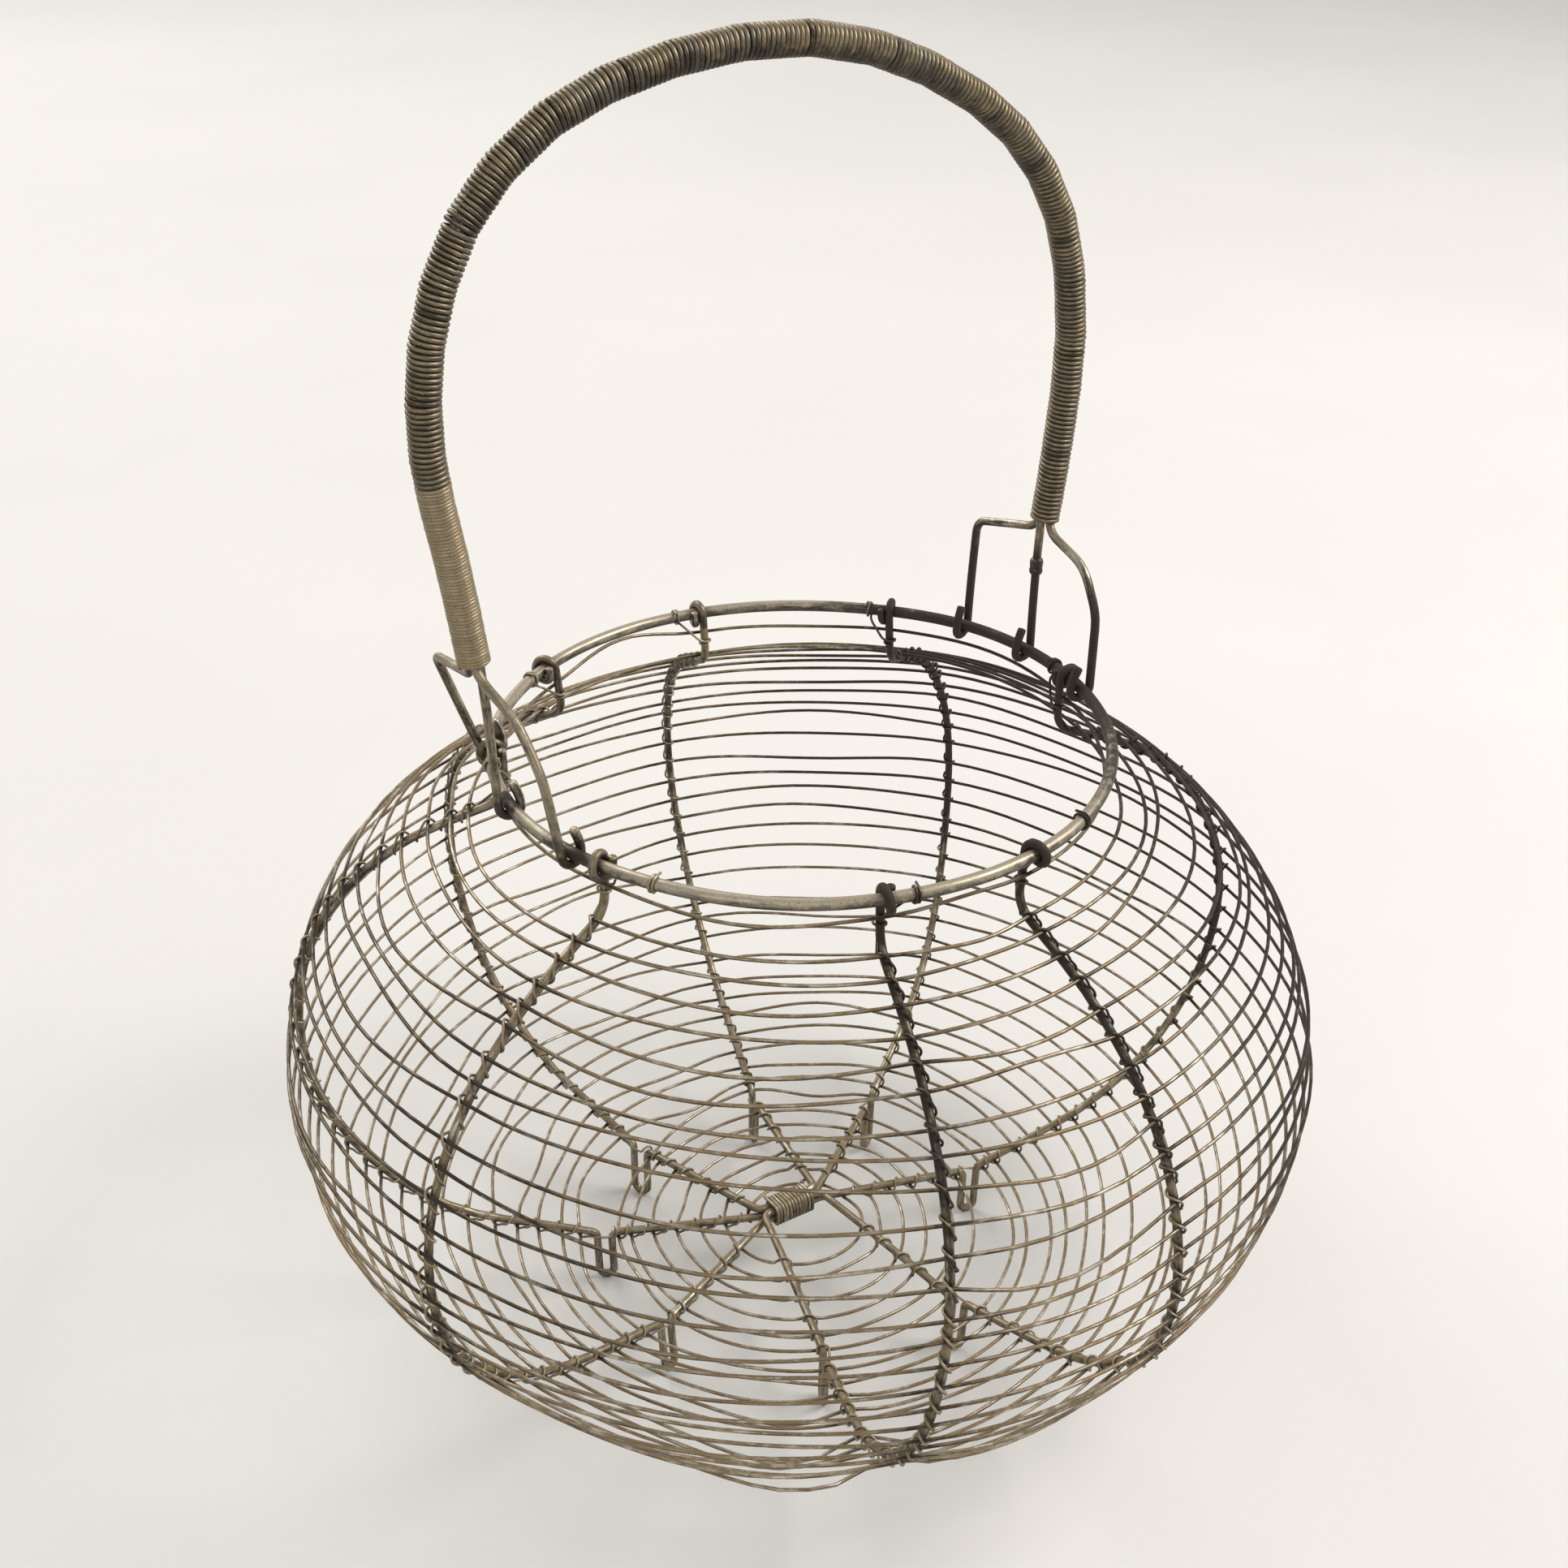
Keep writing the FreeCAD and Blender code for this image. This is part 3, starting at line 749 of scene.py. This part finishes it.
def weft_path(bowl, weft, crossings, seed):
    """The weft through a run of crossings, each (rib, distance), straight over the outside of the ribs. Gives
    points, ages with their painted shade, and for each crossing the number of its point."""
    reach = bowl.sizes.rib_wire / 2 + weft.wire / 2 + bowl.sizes.gap
    rng = random.Random(seed)
    path, ages_and_shade, ends = [], [], []
    previous = None
    for rib, distance in crossings:
        centre = bowl.rib_point(rib, distance)
        here = (distance, math.degrees(math.atan2(centre[1], centre[0])))
        if previous:
            share, skew = SAGGING.get(rib, (0.0, 1.0))
            low = math.exp(-(((distance - SAG_PLACE) / SAG_REACH) ** 2)) * share
            dip, lean = weft.dip * rng.gauss(0.35, 0.85), rng.uniform(-0.5, 0.5)
            dip = (dip if distance < bowl.wall_length else dip * 0.3) + weft.sag * low * rng.gauss(0.0, 0.6)
            bulge = rng.gauss(0, 0.35) * MM + weft.sag * low * rng.uniform(0.5, 1.35)
            points = strand(bowl, previous, here, reach, dip, lean, bulge, skew**min(1.0, 2 * low))
            path += points
            ages_and_shade += [0.1] * len(points)
        path.append(bowl.beside_rib(rib, distance, 0.0, reach))
        # The weft is darker at each crossing: partly dirt, partly painted shade between the strands
        ages_and_shade.append(0.6)
        ends.append(len(path) - 1)
        previous = here
    curve = smooth(path, CURVE_STEPS)
    ages_and_shade = np.interp(np.arange(len(curve)) / CURVE_STEPS, np.arange(len(path)), ages_and_shade)
    ages_and_shade += 0.45 * eased(-curve[:, 0], 88 * MM, 135 * MM) * eased(curve[:, 2], 60 * MM, 130 * MM)
    return curve, ages_and_shade, [end * CURVE_STEPS for end in ends]


def lashing_path(bowl, weft, rib, places, rng):
    """Points of a lashing down its rib: over the weft at each of its places, steeply on down the outside, and
    back behind the rib. It passes a foot on one side."""
    s = bowl.sizes
    hug = (s.rib_wire + s.lashing_wire) / 2 + s.gap
    points = []
    for place, following in zip(places, places[1:]):
        slack = 1 + abs(rng.gauss(0, 0.07))
        over_foot = place < bowl.wall_length < following
        for number, (side, out, past, share) in enumerate(LASHING_TURN):
            if over_foot and number >= SIDE_POINT:
                share = (1 + share) / 2
            at = place + past * weft.wire + share * (following - place)
            reach = slack if number == SIDE_POINT else 1.0
            points.append(bowl.beside_rib(rib, at, side * hug * reach, out * hug))
    return points


def near(points, spots, width):
    """For each point, 1 at a spot and less further off, over a width."""
    gaps = np.linalg.norm(np.asarray(points)[:, None, :] - np.asarray(spots)[None, :, :], axis=2).min(1)
    return np.exp(-((gaps / width) ** 2))


def on_rim(sizes, azimuths):
    """Points on the rim's centreline at azimuths."""
    return np.array([polar(sizes.rim_radius, azimuth, sizes.rim_height) for azimuth in azimuths])


def grip_line(distance_out):
    """The grip's corners, moved outwards from the arch's centreline, as (x, z) in metres."""
    line = np.array(GRIP_CORNERS) * MM
    moved = []
    for number, point in enumerate(line):
        into = unit(point - line[number - 1]) if number else unit(line[1] - line[0])
        out = unit(line[number + 1] - point) if number < len(line) - 1 else into
        turned = into + out
        moved.append(point + unit(np.array((-turned[1], turned[0]))) * distance_out)
    return moved


def hook_corners(sizes, handle, azimuth):
    """Corners of a hook on the rim: down outside it, under it and up inside to a cut end."""
    half_side = sizes.rim_wire / 2 + handle.wire / 2 + sizes.gap
    places = (
        (half_side, -half_side), (-half_side, -half_side), (-half_side, handle.tip_rise / 4),
        (-half_side / 3, handle.tip_rise),
    )
    return [polar(sizes.rim_radius + out, azimuth, sizes.rim_height + up) for out, up in places]


def core_corners(sizes, handle, name):
    """Corners of one core wire, from its left hook's cut end over the grip to its right hook's cut end."""
    side, distance_out = (part * MM for part in CORE_PLACES[name])
    grip = [np.array((x, handle.offset + side, z)) for x, z in grip_line(distance_out)]
    ends = []
    for azimuth, leg in zip(HOOK_AZIMUTHS[name], LEG_CORNERS[name]):
        bends = [(np.array(corner) * MM, LEG_BENDS[name] * MM) for corner in leg]
        ends.append(bends + hook_corners(sizes, handle, azimuth))
    left, right = ends
    return left[::-1] + grip + right


# Operators, one for each piece or group of like pieces


class Step(bpy.types.Operator):
    """A step of the build."""

    bl_options = {"INTERNAL"}

    def settings(self, context):
        """The scene's groups of settings that shape the basket."""
        scene = context.scene
        return scene.basket_sizes, scene.weft_sizes, scene.handle_sizes, scene.finish_colours


class BASKET_OT_rim(Step):
    """Builds the rim's ring, rusty where the eyes, lashings and hooks sit on it"""

    bl_idname = "basket.rim"
    bl_label = "Rim"

    def execute(self, context):
        sizes, _, _, finish = self.settings(context)
        azimuths = np.arange(300) * 360 / 300
        points = on_rim(sizes, azimuths)
        eyes = on_rim(sizes, [places[0] for places in RIB_AZIMUTHS.values()])
        ages_and_shade = 0.1 + 0.6 * near(points, on_rim(sizes, HOOKED), 9 * MM) + 0.3 * near(points, eyes, 8 * MM)
        steel = aged_steel("rim_steel", finish.rim, 0.55, 0.42, 0.07 * MM)
        make_piece("rim_rod", "rim_ring", steel, points, sizes.rim_wire / 2, 16, ages_and_shade, closed=True)
        return {"FINISHED"}


class BASKET_OT_ribs(Step):
    """Builds the four rib wires, each with two ribs, their eyes on the rim and their hairpin feet"""

    bl_idname = "basket.ribs"
    bl_label = "Ribs"

    def execute(self, context):
        sizes, weft, _, finish = self.settings(context)
        bowl = Bowl()
        rng = random.Random(5)
        levels = course_levels(bowl, weft)
        steel = aged_steel("rib_steel", finish.rib, 0.7, 0.42, 0.08 * MM)
        for number, (right, left, _, _) in RIB_PAIRS.items():
            corners = rib_corners(bowl, right, rng)
            corners += rib_corners(bowl, left, rng)[::-1]
            points = even(bent_path(corners), 0.9 * MM)
            crossed = [
                bowl.rib_point(rib, levels[turn, rib] + 1.0 * MM)
                for turn in range(weft.turns) for rib in (right, left)
            ]
            # Darker near each weft crossing: partly dirt, partly painted shade between the strands
            ages_and_shade = 0.02 + 0.28 * near(points, crossed, 2.2 * MM)
            if right in BLACKENED:
                ages_and_shade += blackened(points)
            ages_and_shade += 0.25 * (points[:, 2] > sizes.rim_height - 4 * MM)
            make_piece(
                f"rib_pair_{number}", f"rib_wire_{number}", steel, points, sizes.rib_wire / 2, 10,
                ages_and_shade,
            )
        return {"FINISHED"}


class BASKET_OT_hub(Step):
    """Builds the close coil that binds the ribs at the middle of the base"""

    bl_idname = "basket.hub"
    bl_label = "Hub binding"

    def execute(self, context):
        sizes, _, _, finish = self.settings(context)
        bundle = 1.22 * sizes.rib_wire + 2 * sizes.gap
        half_side = bundle + sizes.binding_wire / 2
        quarters = 4 * sizes.hub_turns
        advance = (2 * sizes.hub_half - sizes.binding_wire) / quarters
        rng = random.Random(3)
        corners = []
        for quarter in range(quarters + 1):
            turn = math.radians(45 + 90 * quarter)
            y = sizes.hub_offset + math.copysign(half_side, math.cos(turn))
            z = sizes.base_height + sizes.rib_wire / 2 + math.copysign(half_side, math.sin(turn))
            x = (quarter - quarters / 2) * advance + rng.uniform(-0.06, 0.06) * MM
            corners.append((np.array((x, y, z)), 2.4 * MM))
        steel = aged_steel("hub_steel", finish.binding, 0.9, 0.3, 0.06 * MM)
        points = bent_path(corners)
        make_piece("hub_coil", "hub_binding", steel, points, sizes.binding_wire / 2, 10, 0.12)
        return {"FINISHED"}


class BASKET_OT_lashings(Step):
    """Builds the lashings: a collar on the rim beside each eye, then turns down the rib over every course"""

    bl_idname = "basket.lashings"
    bl_label = "Rib lashings"

    def execute(self, context):
        sizes, weft, _, finish = self.settings(context)
        bowl = Bowl()
        rng = random.Random(9)
        levels = course_levels(bowl, weft)
        steel = aged_steel("lashing_steel", finish.binding, 0.6, 0.45, 0.05 * MM)
        half_side = (sizes.rim_wire + sizes.lashing_wire) / 2 + sizes.gap
        grip = (sizes.rib_wire + sizes.lashing_wire) / 2 + sizes.gap
        turns = 2
        for rib, distance in COLLAR_DISTANCE.items():
            azimuth = bowl.rib_azimuth(rib, 0)
            collar = azimuth + math.degrees((distance * MM + turns * sizes.lashing_wire) / sizes.rim_radius)
            corners = rim_loop(bowl, collar, 4 * turns, half_side, -0.3 * sizes.lashing_wire)
            if distance * MM > 2 * sizes.grip_near:
                near_eye = azimuth + math.degrees(sizes.grip_near / sizes.rim_radius)
                corners.append(polar(sizes.rim_radius - half_side, near_eye, sizes.rim_height - half_side))
            square = ((1, -1), (-1, -1), (-1, 1), (1, 1))
            for number in range(6):
                side, out = square[number % 4]
                drop = sizes.grip_drop + 0.4 * number * sizes.lashing_wire
                corners.append(bowl.beside_rib(rib, drop, side * grip, out * grip))
            top = list(bent_path(corners)[:-1])
            places = [levels[turn, rib] for turn in range(weft.turns - 1)]
            places.append(places[-1] + weft.lashing_end)
            points = np.array(top + list(smooth(lashing_path(bowl, weft, rib, places, rng), CURVE_STEPS)))
            ages_and_shade = 0.05 + (blackened(points) if rib in BLACKENED else 0.0)
            make_piece(
                f"rib_wire_lashing_{rib}", f"rib_lashing_{rib}", steel, points,
                sizes.lashing_wire / 2, 6, ages_and_shade,
            )
        return {"FINISHED"}


class BASKET_OT_neck(Step):
    """Builds the strand round the neck"""

    bl_idname = "basket.neck"
    bl_label = "Neck strand"

    def execute(self, context):
        _, weft, _, finish = self.settings(context)
        rng = random.Random(21)
        steel = aged_steel("neck_steel", finish.weft, 0.6, 0.36, 0.05 * MM)
        order = RIB_ORDER + RIB_ORDER[:1]
        crossings = [(rib, weft.neck + rng.uniform(-0.3, 0.3) * MM) for rib in order]
        points, ages_and_shade, _ = weft_path(Bowl(), weft, crossings, rng.random())
        make_piece("neck_strand_wire", "neck_strand", steel, points, weft.wire / 2, 8, ages_and_shade)
        return {"FINISHED"}


class BASKET_OT_weft(Step):
    """Winds the weft: one long spiral of fine wire, over the outside of every rib it crosses"""

    bl_idname = "basket.weft"
    bl_label = "Woven courses"

    def execute(self, context):
        _, weft, _, finish = self.settings(context)
        bowl = Bowl()
        levels = course_levels(bowl, weft)
        crossings = [(rib, levels[turn, rib]) for turn in range(weft.turns) for rib in RIB_ORDER]
        points, ages_and_shade, ends = weft_path(bowl, weft, crossings, weft.seed)
        steel = aged_steel("weft_steel", finish.weft, 0.85, 0.36, 0.05 * MM)
        start = 0
        for name, node, last_turn in WEFT_GROUPS:
            end = ends[min(last_turn * len(RIB_ORDER), len(ends)) - 1]
            span = slice(start, end + 1)
            make_piece(name, node, steel, points[span], weft.wire / 2, 8, ages_and_shade[span])
            start = end
        return {"FINISHED"}


# The splice: places along it, as shares of its length, and its thickness there, as shares of its diameter
SPLICE_PROFILE = (
    (-0.62, 0.64), (-0.56, 0.8), (-0.5, 0.92), (-0.42, 1.0), (-0.3, 1.02), (-0.1, 1.0), (0.02, 0.98),
    (0.06, 0.86), (0.1, 0.86), (0.14, 0.98), (0.3, 1.03), (0.42, 1.0), (0.5, 0.92), (0.56, 0.8), (0.62, 0.64),
)


class BASKET_OT_legs(Step):
    """Builds the three core wires of the handle with their legs and hooks, and the splice on one leg"""

    bl_idname = "basket.legs"
    bl_label = "Handle core and legs"

    def execute(self, context):
        sizes, _, handle, finish = self.settings(context)
        steel = aged_steel("leg_steel", finish.leg, 0.9, 0.4, 0.08 * MM)
        hooks = on_rim(sizes, HOOKED) - 2 * MM * Z_AXIS
        for name in CORE_PLACES:
            points = even(bent_path(core_corners(sizes, handle, name)), 1.0 * MM)
            ages_and_shade = 0.12 + 0.5 * near(points, hooks, 6 * MM)
            make_piece(
                f"leg_wire_{name}", f"handle_core_{name}", steel, points, handle.wire / 2, 12, ages_and_shade
            )
        corners = core_corners(sizes, handle, "middle")
        top, bottom = corners[-5], corners[-4]
        along = unit(bottom - top)
        middle = top + along * ((handle.splice_height - top[2]) / along[2])
        shares, swell = np.array(SPLICE_PROFILE).T
        points = middle + along[None, :] * (shares * handle.splice_length)[:, None]
        radii = handle.splice_diameter / 2 * swell
        make_piece("splice_bead", "handle_splice", steel, points, radii, 16, 0.1)
        return {"FINISHED"}


# Gaps between the wrap's turns, in millimetres: where it is close wound, elsewhere, and more at a loose turn
CLOSE_OVERLAP, TURN_SLACK, LOOSE_GAP = (-0.5, -0.42), (0.0, 0.03), (0.12, 0.4)


class BASKET_OT_wrap(Step):
    """Winds the grip: fine wire close round the three core wires, with a few loose turns"""

    bl_idname = "basket.wrap"
    bl_label = "Handle wrap"

    def execute(self, context):
        _, _, handle, finish = self.settings(context)
        rng = random.Random(17)
        grip = [np.array((x, handle.offset, z)) for x, z in grip_line(0.0)]
        line = even(bent_path(grip), 0.5 * MM)
        along = run_along(line)
        places, ages_and_shade = [handle.wrap_wire / 2], [0.1]
        loose = rng.randint(8, 20)
        while places[-1] < along[-1] - 1.5 * handle.wrap_wire:
            close = places[-1] < handle.close_wound
            extra = rng.uniform(*(CLOSE_OVERLAP if close else TURN_SLACK)) * MM
            loose -= 0 if close else 1
            if loose == 0:
                extra += rng.uniform(*LOOSE_GAP) * MM
                loose = rng.randint(9, 34)
            places.append(places[-1] + handle.wrap_wire + extra)
            ages_and_shade.append(-0.2 if close else 0.12 + (0.3 if extra > 0.1 * MM else 0.0))
        per_turn = 18
        turns = np.arange((len(places) - 1) * per_turn + 1) / per_turn
        at = np.interp(turns, np.arange(len(places)), places)
        centre, ahead, behind = (interpolated(at + step, along, line) for step in (0.0, 2 * MM, -2 * MM))
        tangent = (ahead - behind) / np.linalg.norm(ahead - behind, axis=1)[:, None]
        side = np.array((0.0, 1.0, 0.0))
        out = np.cross(tangent, side)
        radius = (handle.wrap - handle.wrap_wire) / 2
        wobble = np.interp(turns, np.arange(len(places)), [rng.gauss(0, 0.035) * MM for _ in places])
        angle = turns * FULL_TURN
        points = centre + (radius + wobble)[:, None] * (
            np.cos(angle)[:, None] * out + np.sin(angle)[:, None] * side
        )
        steel = aged_steel("wrap_steel", finish.wrap, 0.3, 0.3, 0.05 * MM)
        ages_and_shade = np.interp(turns, np.arange(len(ages_and_shade)), ages_and_shade)
        make_piece("grip_wrap", "handle_wrap", steel, points, handle.wrap_wire / 2, 8, ages_and_shade)
        return {"FINISHED"}


class BASKET_OT_stage(Step):
    """Sets the pale floor, the soft lights and the camera"""

    bl_idname = "basket.stage"
    bl_label = "Stage"

    def execute(self, context):
        scene = context.scene
        stage = scene.stage_settings
        floor = bpy.data.meshes.new("floor")
        half = 14.0
        floor.from_pydata(
            [(-half, -half, 0), (half, -half, 0), (half, half, 0), (-half, half, 0)], [], [(0, 1, 2, 3)]
        )
        floor.materials.append(plain("floor_paint", stage.floor, 0.96, 2.5))
        floor = bpy.data.objects.new("floor", floor)
        scene.collection.objects.link(floor)
        for name, place, size, power, tint in (
            ("key", (1.7, -0.8, 1.9), 1.2, 47.0, (1.0, 0.992, 0.975)),
            ("fill", (-1.5, -1.3, 1.3), 1.6, 9.0, (0.98, 0.99, 1.0)),
            ("back", (-0.2, 2.6, 2.3), 2.2, 56.0, (1.0, 0.995, 0.985)),
        ):
            lamp = bpy.data.lights.new(name, "AREA")
            lamp.shape, lamp.size = "SQUARE", size
            lamp.energy = power * stage.light
            lamp.color = tint
            lamp = bpy.data.objects.new(name, lamp)
            lamp.location = place
            lamp.rotation_euler = (Vector((0, 0, 0.15)) - lamp.location).to_track_quat("-Z", "Y").to_euler()
            scene.collection.objects.link(lamp)
        world = bpy.data.worlds.new("soft_white")
        world.use_nodes = True
        background = world.node_tree.nodes["Background"]
        background.inputs["Color"].default_value = (1.0, 0.995, 0.985, 1.0)
        background.inputs["Strength"].default_value = 0.44 * stage.light
        scene.world = world
        scene.view_settings.view_transform = "Standard"
        camera = bpy.data.cameras.new("camera")
        camera.lens = stage.lens
        camera.clip_start = 0.01
        camera = bpy.data.objects.new("camera", camera)
        camera.location = stage.camera_place
        camera.rotation_euler = stage.camera_turn
        scene.collection.objects.link(camera)
        scene.camera = camera
        return {"FINISHED"}


class BASKET_PT_panel(bpy.types.Panel):
    """Lists the steps of the build and their sizes"""

    bl_label = "Wire Egg Basket"
    bl_space_type = "VIEW_3D"
    bl_region_type = "UI"
    bl_category = "Egg Basket"

    def draw(self, context):
        for step in STEPS:
            self.layout.operator(step.bl_idname)
        for name, group in GROUPS.items():
            box = self.layout.box()
            box.label(text=group.__doc__)
            for setting in group.__annotations__:
                box.prop(getattr(context.scene, name), setting)


STEPS = (
    BASKET_OT_stage, BASKET_OT_rim, BASKET_OT_ribs, BASKET_OT_hub, BASKET_OT_lashings, BASKET_OT_neck,
    BASKET_OT_weft, BASKET_OT_legs, BASKET_OT_wrap,
)
CLASSES = (*GROUPS.values(), *STEPS, BASKET_PT_panel)


def register():
    for each in CLASSES:
        bpy.utils.register_class(each)
    for name, group in GROUPS.items():
        setattr(bpy.types.Scene, name, bpy.props.PointerProperty(type=group))


def unregister():
    for name in GROUPS:
        delattr(bpy.types.Scene, name)
    for each in reversed(CLASSES):
        bpy.utils.unregister_class(each)


def main():
    """Registers the classes and builds every piece."""
    register()
    for step in STEPS:
        group, name = step.bl_idname.split(".")
        getattr(getattr(bpy.ops, group), name)()


if __name__ == "__main__":
    main()
